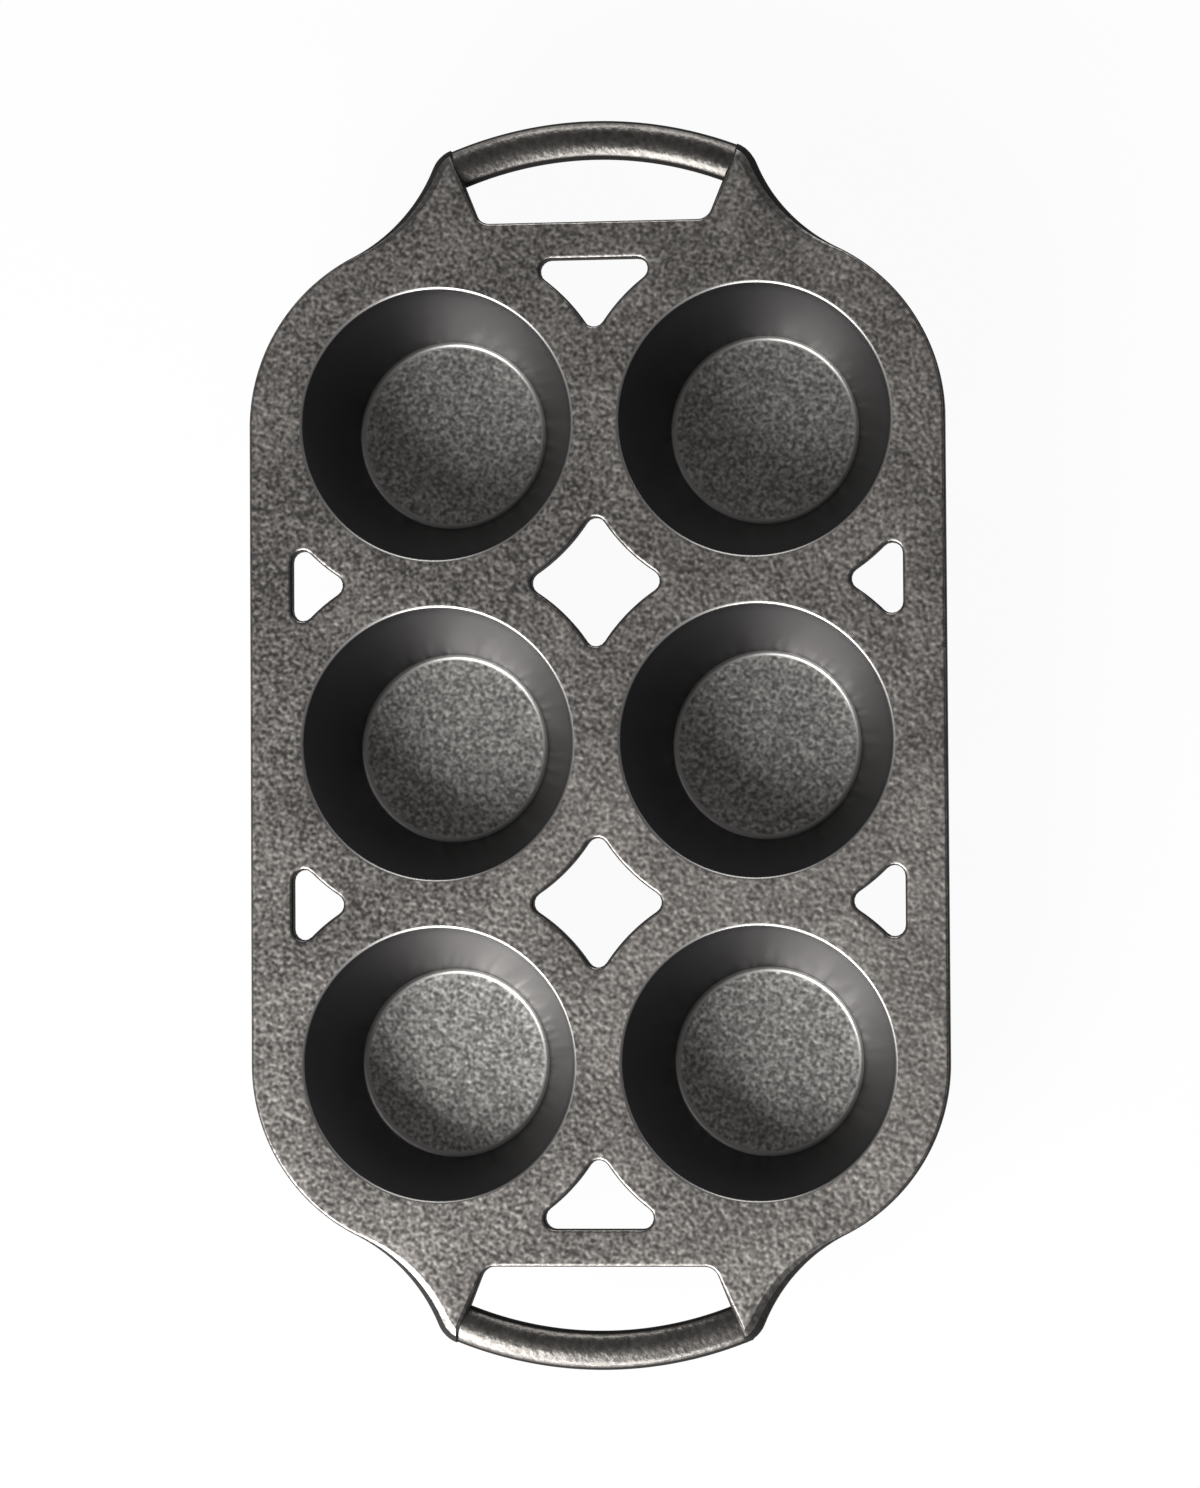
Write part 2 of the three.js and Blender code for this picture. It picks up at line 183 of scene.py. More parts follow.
class Wire:
    """An output of a node. Arithmetic on wires and numbers adds Math nodes."""

    def __init__(self, graph, socket):
        self.graph = graph
        self.socket = socket

    def maths(self, operation, *values):
        inputs = dict(enumerate(values))
        return self.graph.node("ShaderNodeMath", {"operation": operation}, inputs)

    def __add__(self, other):
        return self.maths("ADD", self, other)

    def __radd__(self, other):
        return self.maths("ADD", other, self)

    def __sub__(self, other):
        return self.maths("SUBTRACT", self, other)

    def __rsub__(self, other):
        return self.maths("SUBTRACT", other, self)

    def __mul__(self, other):
        return self.maths("MULTIPLY", self, other)

    def __rmul__(self, other):
        return self.maths("MULTIPLY", other, self)

    def __pow__(self, other):
        return self.maths("POWER", self, other)

    def between(self, low, high):
        """0 at low and below, 1 at high and above, eased between them."""
        settings = {"interpolation_type": "SMOOTHSTEP"}
        inputs = {"Value": self, "From Min": low, "From Max": high}
        return self.graph.node("ShaderNodeMapRange", settings, inputs)


class Graph:
    """Adds nodes to a node tree."""

    def __init__(self, tree):
        self.tree = tree

    def node(self, kind, settings=None, inputs=None, output=0):
        """Adds a node with its settings, then its inputs, and gives one of its outputs.

        An input is a value or a wire, under the name or the number of its socket.
        """
        node = self.tree.nodes.new(kind)
        for name, value in (settings or {}).items():
            setattr(node, name, value)
        for key, value in (inputs or {}).items():
            if isinstance(value, Wire):
                self.tree.links.new(value.socket, node.inputs[key])
            else:
                node.inputs[key].default_value = value
        return Wire(self, node.outputs[output]) if node.outputs else None


# Plan curves


def plan(x, y):
    return Vector((x, y))


def direction(angle):
    return Vector((math.cos(angle), math.sin(angle)))


def bearing(vector):
    return math.atan2(vector.y, vector.x)


def half_turn_wrap(angle):
    return (angle + math.pi) % (2 * math.pi) - math.pi


def blend(low, high, share):
    return low + (high - low) * share


def arc_points(centre, radius, start, end, count):
    """Points of an arc between two angles, both ends included."""
    angles = [blend(start, end, i / count) for i in range(count + 1)]
    return [centre + direction(angle) * radius for angle in angles]


def arc_count(radius, sweep):
    """How many steps of about the usual length an arc takes."""
    return max(2, math.ceil(abs(sweep) * radius / ARC_LENGTH))


def arc_between(centre, radius, start, end, count_radius):
    """Points of the shorter arc about a centre, from beside one point to beside another."""
    first = bearing(start - centre)
    sweep = half_turn_wrap(bearing(end - centre) - first)
    return arc_points(centre, radius, first, first + sweep, arc_count(count_radius, sweep))


def rounded_line(corners, count):
    """An open line through corners (x, y, rounding), with each rounding drawn as an arc."""
    points = []
    for i, (x, y, radius) in enumerate(corners):
        corner = plan(x, y)
        if not radius:
            points.append(corner)
            continue
        back = (plan(*corners[i - 1][:2]) - corner).normalized()
        ahead = (plan(*corners[i + 1][:2]) - corner).normalized()
        half = back.angle(ahead) / 2
        centre = corner + (back + ahead).normalized() * (radius / math.sin(half))
        reach = radius / math.tan(half)
        first = bearing(corner + back * reach - centre)
        sweep = half_turn_wrap(bearing(corner + ahead * reach - centre) - first)
        points.extend(arc_points(centre, radius, first, first + sweep, count))
    return points


def cup_inner_radius(z):
    return FLOOR_RADIUS + (z - CUP_FLOOR) * CUP_DRAFT


def edge_steps(count, width, depth, power=1.0):
    """The steps of a rounded or bevelled edge, from the face beside it to the wall: how far in and down."""
    angles = [math.pi / 2 * i / count for i in range(count + 1)]
    return [(width * (1 - math.sin(a) ** power), depth * (1 - math.cos(a) ** power)) for a in angles]


# The deck with its horns


class Horn:
    """The outer edge of one horn: a hollow arc off the deck's corner, then a knuckle into the grip."""

    def __init__(self):
        cup = plan(CUP_X, CUP_Y)
        tip_angle = math.pi / 2 - GRIP_HALF_ANGLE
        knuckle_reach = GRIP_OUTER_RADIUS - HORN_KNUCKLE_RADIUS
        knuckle = plan(0, GRIP_CENTRE_Y) + direction(tip_angle) * knuckle_reach
        from_cup = DECK_MARGIN + HORN_SWEEP_RADIUS
        from_knuckle = HORN_KNUCKLE_RADIUS + HORN_SWEEP_RADIUS
        line = knuckle - cup
        along = (from_cup ** 2 - from_knuckle ** 2 + line.length_squared) / (2 * line.length)
        aside = math.sqrt(from_cup ** 2 - along ** 2)
        unit = line.normalized()
        hollow = cup + unit * along + plan(unit.y, -unit.x) * aside
        tip = knuckle + direction(tip_angle)
        hollow_points = arc_between(hollow, HORN_SWEEP_RADIUS, cup, knuckle, HORN_SWEEP_RADIUS)
        knuckle_points = arc_between(knuckle, HORN_KNUCKLE_RADIUS, hollow, tip, HORN_KNUCKLE_RADIUS)[1:]
        self.points = hollow_points + knuckle_points
        self.normals = [(hollow - point).normalized() for point in hollow_points]
        self.normals += [(point - knuckle).normalized() for point in knuckle_points]
        self.corner_end = bearing(hollow - cup)
        self.travel = [0.0]
        for before, after in zip(self.points, self.points[1:]):
            self.travel.append(self.travel[-1] + (after - before).length)
        self.length = self.travel[-1]

    def samples(self):
        """Points, outward normals and distances along the edge, from past the deck's corner to the tip."""
        return list(zip(self.points, self.normals, self.travel))[1:]


HORN = Horn()


def horn_rib_depth(x, y):
    """How far the rib under a horn hangs below the deck's underside at a point."""
    point = plan(abs(x), abs(y))
    if point.y < CUP_Y:
        return 0.0
    nearest = min(range(len(HORN.points)), key=lambda i: (HORN.points[i] - point).length_squared)
    share = HORN.travel[nearest] / HORN.length
    inside = -(point - HORN.points[nearest]).dot(HORN.normals[nearest])
    width = max(share * HORN_RIB_WIDTH, UNDER_ROUND)
    across = 2 * (inside + UNDER_ROUND) / (width + UNDER_ROUND) - 1
    if abs(across) >= 1:
        return 0.0
    return share * HORN_RIB_DEPTH * math.sqrt(1 - across ** 2)


def deck_level(edge, bevel, seat_inset, face, away):
    """One level of the deck's edge: the outline moved in and away from a face by a step of its rounding.

    Along each horn that step grows into a step of the bevel at the tip, which also makes way for the
    bevel beside the grip's seat. Away is -1 for steps down and 1 for steps up.
    """
    edge_inset, edge_drop = edge
    bevel_inset, bevel_drop = bevel

    def place(point, drop):
        return Vector((point.x, point.y, face + away * drop))

    corner_count = arc_count(DECK_MARGIN, HORN.corner_end)
    corner = arc_points(plan(CUP_X, CUP_Y), DECK_MARGIN - edge_inset, 0, HORN.corner_end, corner_count)
    along = plan(math.sin(GRIP_HALF_ANGLE), math.cos(GRIP_HALF_ANGLE))
    aside = plan(along.y, -along.x)
    shoulder = []
    for point, normal, travel in HORN.samples():
        growth = math.sin(math.pi / 2 * travel / HORN.length)
        make_way = seat_inset * max(0, 1 - (HORN.length - travel) / TIP_REACH)
        moved = point - normal * blend(edge_inset, bevel_inset, growth) + aside * make_way
        shoulder.append(place(moved, blend(edge_drop, bevel_drop, growth)))

    tip = shoulder[-1].xy
    seat = aside * edge_inset + plan(0, GRIP_CENTRE_Y)
    slot_edge = SLOT_Y - edge_inset
    slot_corner = seat + along * ((slot_edge - seat.y) / along.y)
    slot = rounded_line([
        (*(slot_corner + along), 0),
        (*slot_corner, SLOT_CORNER + edge_inset),
        (0, slot_edge, 0),
    ], ROUND_STEPS)[1:-1]
    shares = [i / SEAT_STEPS for i in range(1, SEAT_STEPS)]
    seat_points = [place(tip.lerp(slot[0], share), blend(bevel_drop, edge_drop, share)) for share in shares]
    edge_points = [slot[-1].lerp(plan(0, slot_edge), i / SLOT_STEPS) for i in range(1, SLOT_STEPS)]

    quarter = [place(point, edge_drop) for point in corner] + shoulder + seat_points
    quarter += [place(point, edge_drop) for point in slot + edge_points]
    mirrored = [Vector((-point.x, point.y, point.z)) for point in reversed(quarter)]
    half = quarter + mirrored
    return half + [Vector((-point.x, -point.y, point.z)) for point in half]


def outer_rings():
    """The deck's outer edge, from the top face's border down to the underside's."""
    edge = edge_steps(ROUND_STEPS, EDGE_ROUND, EDGE_ROUND)
    bevel = edge_steps(ROUND_STEPS, HORN_BEVEL_WIDTH, HORN_BEVEL_DROP, BEVEL_POWER)
    seat = edge_steps(ROUND_STEPS, SEAT_BEVEL_WIDTH, HORN_BEVEL_DROP, BEVEL_POWER)
    under = edge_steps(UNDER_STEPS, UNDER_ROUND, UNDER_ROUND)
    upper = [deck_level(edge[i], bevel[i], seat[i][0], TOP, -1) for i in range(ROUND_STEPS + 1)]
    lower = [deck_level(step, step, step[0], UNDERSIDE, 1) for step in under]
    return upper + lower[::-1]


def relief_outline(corners, cups, grow):
    """A relief outline round the middles of its corners. Each side follows a cup, or is straight."""
    outline = []
    for i, corner in enumerate(corners):
        after = corners[(i + 1) % len(corners)]
        above = corner + plan(0, 1)
        start = cups[i - 1] or above
        end = cups[i] or above
        outline += arc_between(corner, RELIEF_CORNER + grow, start, end, RELIEF_CORNER)
        if cups[i]:
            side = arc_between(cups[i], RELIEF_RADIUS - grow, corner, after, RELIEF_RADIUS)
            outline += side[1:-1]
        else:
            last = outline[-1]
            level = corner.y + RELIEF_CORNER + grow
            shares = [j / RELIEF_STEPS for j in range(1, RELIEF_STEPS)]
            outline += [plan(blend(last.x, after.x, share), level) for share in shares]
    return outline


def relief_apex():
    """How far the middle of a relief corner between two cups lies from the line through them."""
    return math.sqrt((RELIEF_RADIUS + RELIEF_CORNER) ** 2 - (CUP_PITCH / 2) ** 2)


def diamond_outline(grow):
    half = CUP_PITCH / 2
    tip = half - relief_apex()
    corners = [plan(tip, 0), plan(0, tip), plan(-tip, 0), plan(0, -tip)]
    cups = [plan(half, half), plan(-half, half), plan(-half, -half), plan(half, -half)]
    return relief_outline(corners, cups, grow)


def triangle_outline(straight_side, grow):
    half = CUP_PITCH / 2
    corner_y = straight_side - RELIEF_CORNER
    corner_x = half - math.sqrt((RELIEF_RADIUS + RELIEF_CORNER) ** 2 - corner_y ** 2)
    corners = [plan(0, relief_apex()), plan(corner_x, corner_y), plan(-corner_x, corner_y)]
    return relief_outline(corners, [plan(half, 0), None, plan(-half, 0)], grow)


def relief_rings(outline, turn, shift):
    """The walls of one relief opening, from the top face's border down to the underside's."""
    spin = Matrix.Rotation(turn, 2)
    rings = []
    upper = [(inset, TOP - drop) for inset, drop in edge_steps(ROUND_STEPS, EDGE_ROUND, EDGE_ROUND)]
    lower = [(inset, UNDERSIDE + drop) for inset, drop in edge_steps(UNDER_STEPS, UNDER_ROUND, UNDER_ROUND)]
    for grow, z in upper + lower[::-1]:
        points = [spin @ point + shift for point in outline(grow)]
        rings.append([Vector((point.x, point.y, z)) for point in points])
    return rings


def all_relief_rings():
    """Every relief opening: between four cups, at the sides and at the ends."""
    half = CUP_PITCH / 2

    def side(grow):
        return triangle_outline(DECK_MARGIN - SIDE_RAIL, grow)

    def end(grow):
        return triangle_outline(SLOT_OFFSET - CROSSBAR, grow)

    rings = []
    for y in (-half, half):
        rings.append(relief_rings(diamond_outline, 0, plan(0, y)))
        rings.append(relief_rings(side, -math.pi / 2, plan(CUP_X, y)))
        rings.append(relief_rings(side, math.pi / 2, plan(-CUP_X, y)))
    rings.append(relief_rings(end, 0, plan(0, CUP_Y)))
    rings.append(relief_rings(end, math.pi, plan(0, -CUP_Y)))
    return rings


def mouth_rings(place):
    """The wall of one cup's mouth, from the top face's border down to the underside."""
    profile = rounded_line([
        (MOUTH_RADIUS + DECK_MARGIN, TOP, 0),
        (MOUTH_RADIUS, TOP, MOUTH_ROUND),
        (cup_inner_radius(UNDERSIDE), UNDERSIDE, 0),
    ], ROUND_STEPS)[1:]
    angles = [2 * math.pi * i / CUP_SEGMENTS for i in range(CUP_SEGMENTS)]
    rings = []
    for radius, z in profile:
        rings.append([
            Vector((place.x + radius * math.cos(angle), place.y + radius * math.sin(angle), z))
            for angle in angles
        ])
    return rings


class MeshParts:
    """Vertices and faces of a piece as it is put together."""

    def __init__(self):
        self.points = []
        self.faces = []
        self.materials = []

    def add_points(self, points):
        first = len(self.points)
        self.points += points
        return list(range(first, len(self.points)))

    def add_face(self, corners, material=0):
        self.faces.append(corners)
        self.materials.append(material)

    def add_wall(self, rings, outward, materials=None):
        """Joins rings, given from the top down, and returns the indexes of the first and the last."""
        rows = [self.add_points(ring) for ring in rings]
        for level, (upper, lower) in enumerate(zip(rows, rows[1:])):
            material = materials[level] if materials else 0
            for i, corner in enumerate(upper):
                after = (i + 1) % len(upper)
                quad = [corner, lower[i], lower[after], upper[after]]
                self.add_face(quad if outward else quad[::-1], material)
        return rows[0], rows[-1]

    def add_cap(self, borders, height, facing_up):
        """Fills the plane between borders with triangles of about the usual size."""
        loops = [[self.points[i].xy for i in border] for border in borders]
        index = [i for border in borders for i in border]
        plan_points = [point for loop in loops for point in loop]
        outlines = []
        first = 0
        for loop in loops:
            outlines.append(list(range(first, first + len(loop))))
            first += len(loop)
        inner = inner_points(loops)
        result = delaunay_2d_cdt(plan_points + inner, [], outlines, TRIANGLES_WITH_HOLES, SAME_POINT)
        points, _, triangles, origins = result[:4]
        used = {}
        for i, source in enumerate(origins):
            if source and min(source) < len(index):
                used[i] = index[min(source)]
        for triangle in triangles:
            corners = []
            for i in triangle:
                if i not in used:
                    x, y = points[i]
                    used[i] = self.add_points([Vector((x, y, height(x, y)))])[0]
                corners.append(used[i])
            self.add_face(corners if facing_up else corners[::-1])

    def build(self, name, materials):
        mesh = bpy.data.meshes.new(name)
        mesh.from_pydata(self.points, [], self.faces)
        for material in materials:
            mesh.materials.append(material)
        mesh.polygons.foreach_set("material_index", self.materials)
        mesh.shade_smooth()
        mesh.set_sharp_from_angle(angle=SHARP_ANGLE)
        piece = bpy.data.objects.new(name, mesh)
        bpy.context.scene.collection.objects.link(piece)
        return piece


def inner_points(loops):
    """A triangular grid of points between the loops, clear of their lines."""
    border = KDTree(sum(len(loop) for loop in loops))
    edges = []
    for loop in loops:
        for start, end in zip(loop, loop[1:] + loop[:1]):
            border.insert(start.to_3d(), len(edges))
            edges.append((*start, *end))
    border.balance()
    x0, y0, x1, y1 = np.array(edges).T
    row_step = MESH_STEP * math.sqrt(3) / 2
    rows = math.ceil(deck_high.y / row_step)
    columns = math.ceil(deck_high.x / MESH_STEP)
    points = []
    for row in range(-rows, rows + 1):
        y = row * row_step
        crossed = (y0 > y) != (y1 > y)
        crossings = (x0 + (x1 - x0) * (y - y0) / np.where(crossed, y1 - y0, 1))[crossed]
        for column in range(-columns, columns + 1):
            x = (column + (row % 2) / 2) * MESH_STEP
            clear = border.find((x, y, 0))[2] > BORDER_CLEARANCE
            if clear and np.count_nonzero(crossings > x) % 2:
                points.append(plan(x, y))
    return points


def make_deck(materials):
    """The flat deck with its horns, relief openings and cup mouths, in its top, cup and edge finishes."""
    parts = MeshParts()
    # The last steps of each rounding and the walls below take the edge finish, which is painted shade
    edge_materials = [0] * (ROUND_STEPS - DARK_STEPS) + [2] * (DARK_STEPS + 1 + UNDER_STEPS)
    mouth_materials = [0] + [1] * ROUND_STEPS
    outer = outer_rings()
    for ring in outer[-UNDER_STEPS - 1:]:
        for point in ring:
            point.z -= horn_rib_depth(point.x, point.y)
    walls = [parts.add_wall(outer, True, edge_materials)]
    for rings in all_relief_rings():
        walls.append(parts.add_wall(rings, False, edge_materials))
    for place in CUP_PLACES.values():
        walls.append(parts.add_wall(mouth_rings(place), False, mouth_materials))
    parts.add_cap([first for first, last in walls], lambda x, y: TOP, True)
    parts.add_cap([last for first, last in walls], lambda x, y: UNDERSIDE - horn_rib_depth(x, y), False)
    return parts.build("deck_casting", materials)


# Geometry Nodes


def new_tree(name, sockets):
    """A Geometry Nodes tree with named inputs, given as name and kind, and its graph and input wires."""
    tree = bpy.data.node_groups.new(name, "GeometryNodeTree")
    tree.interface.new_socket("Geometry", in_out="OUTPUT", socket_type="NodeSocketGeometry")
    for socket_name, kind in sockets.items():
        tree.interface.new_socket(socket_name, in_out="INPUT", socket_type=f"NodeSocket{kind}")
    graph = Graph(tree)
    source = tree.nodes.new("NodeGroupInput")
    wires = {socket.name: Wire(graph, socket) for socket in source.outputs if socket.name}
    return tree, graph, wires


def end_tree(graph, wires, geometry):
    """Ends a tree with real, smooth geometry in the material that was asked for."""
    real = graph.node("GeometryNodeRealizeInstances", None, {"Geometry": geometry})
    smooth = graph.node("GeometryNodeSetShadeSmooth", None, {0: real})
    dressed = graph.node("GeometryNodeSetMaterial", None, {"Geometry": smooth, "Material": wires["Material"]})
    graph.node("NodeGroupOutput", None, {"Geometry": dressed})


def turned_tree():
    """Turns a half profile in the XZ plane about the Z axis and puts the result in its place."""
    kinds = {"Geometry": "Geometry", "Segments": "Int", "Place": "Vector", "Material": "Material"}
    tree, graph, wires = new_tree("turned_piece", kinds)
    profile = graph.node("GeometryNodeMeshToCurve", None, {"Mesh": wires["Geometry"]})
    flat = graph.node("GeometryNodeTransform", None, {
        "Geometry": profile,
        "Translation": (-TURNING_RADIUS, 0, 0),
        "Rotation": (math.pi / 2, 0, 0),
    })
    circle = graph.node("GeometryNodeCurvePrimitiveCircle", {"mode": "RADIUS"}, {
        "Resolution": wires["Segments"],
        "Radius": TURNING_RADIUS,
    })
    path = graph.node("GeometryNodeSetCurveNormal", {"mode": "Z_UP"}, {"Curve": circle})
    swept = graph.node("GeometryNodeCurveToMesh", None, {"Curve": path, "Profile Curve": flat})
    merged = graph.node("GeometryNodeMergeByDistance", None, {"Geometry": swept, "Distance": MERGE_DISTANCE})
    placed = graph.node("GeometryNodeTransform", None, {"Geometry": merged, "Translation": wires["Place"]})
    end_tree(graph, wires, placed)
    return tree


def bent_bar_tree():
    """A rounded bar that follows an arc about a centre."""
    kinds = {
        "Centre": "Vector", "Arc Radius": "Float", "Start": "Float", "Sweep": "Float",
        "Width": "Float", "Height": "Float", "Steps": "Int", "Sides": "Int", "Material": "Material",
    }
    tree, graph, wires = new_tree("bent_bar", kinds)
    arc = graph.node("GeometryNodeCurveArc", {"mode": "RADIUS"}, {
        "Resolution": wires["Steps"],
        "Radius": wires["Arc Radius"],
        "Start Angle": wires["Start"],
        "Sweep Angle": wires["Sweep"],
    })
    path = graph.node("GeometryNodeSetCurveNormal", {"mode": "Z_UP"}, {"Curve": arc})
    circle = graph.node("GeometryNodeCurvePrimitiveCircle", {"mode": "RADIUS"}, {
        "Resolution": wires["Sides"],
        "Radius": 0.5,
    })
    size = graph.node("ShaderNodeCombineXYZ", None, {"X": wires["Width"], "Y": wires["Height"], "Z": 1.0})
    section = graph.node("GeometryNodeTransform", None, {"Geometry": circle, "Scale": size})
    swept = graph.node("GeometryNodeCurveToMesh", None, {
        "Curve": path,
        "Profile Curve": section,
        "Fill Caps": True,
    })
    placed = graph.node("GeometryNodeTransform", None, {"Geometry": swept, "Translation": wires["Centre"]})
    end_tree(graph, wires, placed)
    return tree


def grown(name, mesh, tree, values):
    """Runs a tree on a mesh and gives the result as a plain object."""
    piece = bpy.data.objects.new(name, mesh)
    bpy.context.scene.collection.objects.link(piece)
    modifier = piece.modifiers.new("shape", "NODES")
    modifier.node_group = tree
    for socket in tree.interface.items_tree:
        if socket.in_out == "INPUT" and socket.name in values:
            modifier[socket.identifier] = values[socket.name]
    bpy.context.view_layer.update()
    evaluated = piece.evaluated_get(bpy.context.evaluated_depsgraph_get())
    result = bpy.data.meshes.new_from_object(evaluated)
    result.set_sharp_from_angle(angle=SHARP_ANGLE)
    piece.modifiers.clear()
    piece.data = result
    result.name = name
    return piece


def cup_profile():
    """Half the section of a cup shell, from its inner floor over the neck to its foot."""
    neck = cup_inner_radius(UNDERSIDE)
    slope = math.atan(CUP_DRAFT)
    flare = DECK_FILLET * math.tan((math.pi / 2 - slope) / 2)
    outside = rounded_line([
        (neck + CUP_WALL + flare + DECK_FILLET, UNDERSIDE, 0),
        (neck + CUP_WALL, UNDERSIDE, DECK_FILLET),
        (cup_inner_radius(0) + CUP_WALL, 0, FOOT_ROUND),
        (0, 0, 0),
    ], ROUND_STEPS)[1:]
    inner = rounded_line([
        (0, CUP_FLOOR, 0),
        (FLOOR_RADIUS, CUP_FLOOR, FLOOR_FILLET),
        (neck, UNDERSIDE, 0),
    ], ROUND_STEPS)
    points = finer(inner) + finer(outside)
    mesh = bpy.data.meshes.new("cup_profile")
    edges = [(i, i + 1) for i in range(len(points) - 1)]
    mesh.from_pydata([(x, 0, z) for x, z in points], edges, [])
    return mesh


def finer(points):
    """A line with its long stretches split into even steps."""
    result = [points[0]]
    for start, end in zip(points, points[1:]):
        count = max(1, math.ceil((end - start).length / (2 * MESH_STEP)))
        result += [start.lerp(end, i / count) for i in range(1, count + 1)]
    return result


def make_cups(material):
    tree = turned_tree()
    profile = cup_profile()
    cups = {}
    for node, place in CUP_PLACES.items():
        values = {"Segments": CUP_SEGMENTS, "Place": (place.x, place.y, 0), "Material": material}
        cups[node] = grown(f"{node}_casting", profile.copy(), tree, values)
    return cups


def make_grips(material):
    tree = bent_bar_tree()
    half_angle = GRIP_HALF_ANGLE + GRIP_SINK / GRIP_RADIUS
    grips = {}
    for node in GRIP_NODES:
        end = math.copysign(1, middle_of(node).y)
        values = {
            "Centre": (0, end * GRIP_CENTRE_Y, (grip_low.z + grip_high.z) / 2),
            "Arc Radius": GRIP_RADIUS,
            "Start": end * math.pi / 2 - half_angle,
            "Sweep": 2 * half_angle,
            "Width": GRIP_WIDTH,
            "Height": grip_high.z - grip_low.z,
            "Steps": GRIP_STEPS,
            "Sides": GRIP_SIDES,
            "Material": material,
        }
        grips[node] = grown(f"{node}_casting", bpy.data.meshes.new(node), tree, values)
    return grips


# Materials


def new_material(name):
    material = bpy.data.materials.new(name)
    material.use_nodes = True
    material.node_tree.nodes.clear()
    return material, Graph(material.node_tree)


def noise(graph, scale, detail, shift=(0, 0, 0)):
    """Noise that stays with the piece, shifted, and turned so that no row of it lies along an edge."""
    place = graph.node("ShaderNodeTexCoord", None, None, "Object")
    turned = graph.node("ShaderNodeMapping", None, {
        "Vector": place,
        "Location": shift,
        "Rotation": NOISE_TURN,
    })
    return graph.node("ShaderNodeTexNoise", {"noise_dimensions": "3D"}, {
        "Vector": turned,
        "Scale": scale,
        "Detail": detail,
        "Roughness": 0.5,
    })


def facing_up(graph):
    """1 on flat tops, 0 on upright walls and -1 underneath."""
    normal = graph.node("ShaderNodeNewGeometry", None, None, "Normal")
    return graph.node("ShaderNodeSeparateXYZ", None, {0: normal}, "Z")


def mixed_colour(graph, share, first, second):
    """A colour between two, each given as three numbers or as a wire."""
    ends = [end if isinstance(end, Wire) else (*end, 1) for end in (first, second)]
    inputs = {"Factor": share, MIX_FIRST: ends[0], MIX_SECOND: ends[1]}
    return graph.node("ShaderNodeMix", {"data_type": "RGBA"}, inputs, MIX_RESULT)


def contrast(grain):
    """0 in the darkest spots of a grain and 1 in the lightest."""
    return grain.between(0.2, 0.8)


def skin(graph, colour, metallic, roughness, height, depth, shine=0.5, glance=1.0):
    """The surface of a piece, with its relief given as a height and the depth that a height of 1 stands for.

    Shine is the gloss of what isn't metal. Glance is how much of a bare metal's gloss it keeps where it is
    seen at a glancing angle.
    """
    bump = graph.node("ShaderNodeBump", None, {"Height": height, "Strength": 1.0, "Distance": depth})
    shader = graph.node("ShaderNodeBsdfPrincipled", None, {
        "Base Color": colour,
        "Metallic": metallic,
        "Roughness": roughness,
        "Specular IOR Level": shine,
        "Specular Tint": (glance, glance, glance, 1),
        "Normal": bump,
    })
    graph.node("ShaderNodeOutputMaterial", None, {"Surface": shader})


def deck_finish():
    """Grainy iron as cast, with rounded edges that use has polished, and painted light: a tone that changes
    slowly and lightens the deck towards the front right.
    """
    material, graph = new_material("deck_iron")
    grain = noise(graph, DECK_GRAIN, 0.0)
    specks = noise(graph, SPECK_RATIO * DECK_GRAIN, 0.0)
    patches = noise(graph, DECK_PATCHES, 3.0).between(0.3, 0.7)
    painted_light = noise(graph, PAINTED_LIGHT, 0.0, PAINTED_LIGHT_SHIFT)
    flat = facing_up(graph).between(0.94, 0.995)
    speckle = contrast(grain) * 0.35 + contrast(specks) * 0.45 + patches * 0.2
    # The slow part of the tone is painted light, lighter towards the front right
    tone = speckle ** DECK_CONTRAST + (painted_light - PAINTED_LIGHT_MIDDLE) * PAINTED_LIGHT_STRENGTH
    cast = mixed_colour(graph, tone, *DECK_CAST)
    worn = mixed_colour(graph, tone, *DECK_WORN)
    colour = mixed_colour(graph, flat, worn, cast)
    metallic = 0.95 - flat * 0.15
    roughness = 0.36 + flat * 0.3
    relief = (grain - NOISE_MIDDLE) * (flat * 0.6 + 0.4)
    skin(graph, colour, metallic, roughness, relief, depth=0.3 * MM)
    return material


def cup_finish():
    """Smooth black seasoned walls, with a grainy grey floor and a grainy outside."""
    material, graph = new_material("cup_iron")
    grain = noise(graph, CUP_GRAIN, 0.0)
    specks = noise(graph, SPECK_RATIO * CUP_GRAIN, 0.0)
    up = facing_up(graph)
    outside = 1 - up.between(-0.1, 0.1)
    floor = up.between(0.97, 0.998)
    rough = floor.maths("MAXIMUM", floor, outside)
    bare = floor.maths("MAXIMUM", up.between(0.36, 0.6), outside)
    tone = (contrast(grain) * 0.5 + contrast(specks) * 0.5) ** CUP_CONTRAST
    base = mixed_colour(graph, tone, *CUP_BASE)
    outer = mixed_colour(graph, tone, *CUP_OUTSIDE)
    cast = mixed_colour(graph, outside, base, outer)
    smooth = mixed_colour(graph, bare, WALL_BLACK, FILLET_GREY)
    colour = mixed_colour(graph, rough, smooth, cast)
    metallic = 0.95 - floor * 0.12
    roughness = 0.29 + bare * 0.11 + rough * 0.06
    relief = (grain - NOISE_MIDDLE) * rough
    skin(graph, colour, metallic, roughness, relief, depth=0.14 * MM, glance=0.92)
    return material


def edge_finish():
    """Black rough side walls and outer steps of the roundings: the black of seasoned iron, darkened further
    as painted shade along the outline.
    """
    material, graph = new_material("edge_iron")
    grain = noise(graph, DECK_GRAIN, 1.0)
    colour = mixed_colour(graph, grain, *EDGE_BLACK_AND_SHADE)
    skin(graph, colour, metallic=0.0, roughness=0.75, height=grain, depth=0.2 * MM, shine=0.2)
    return material


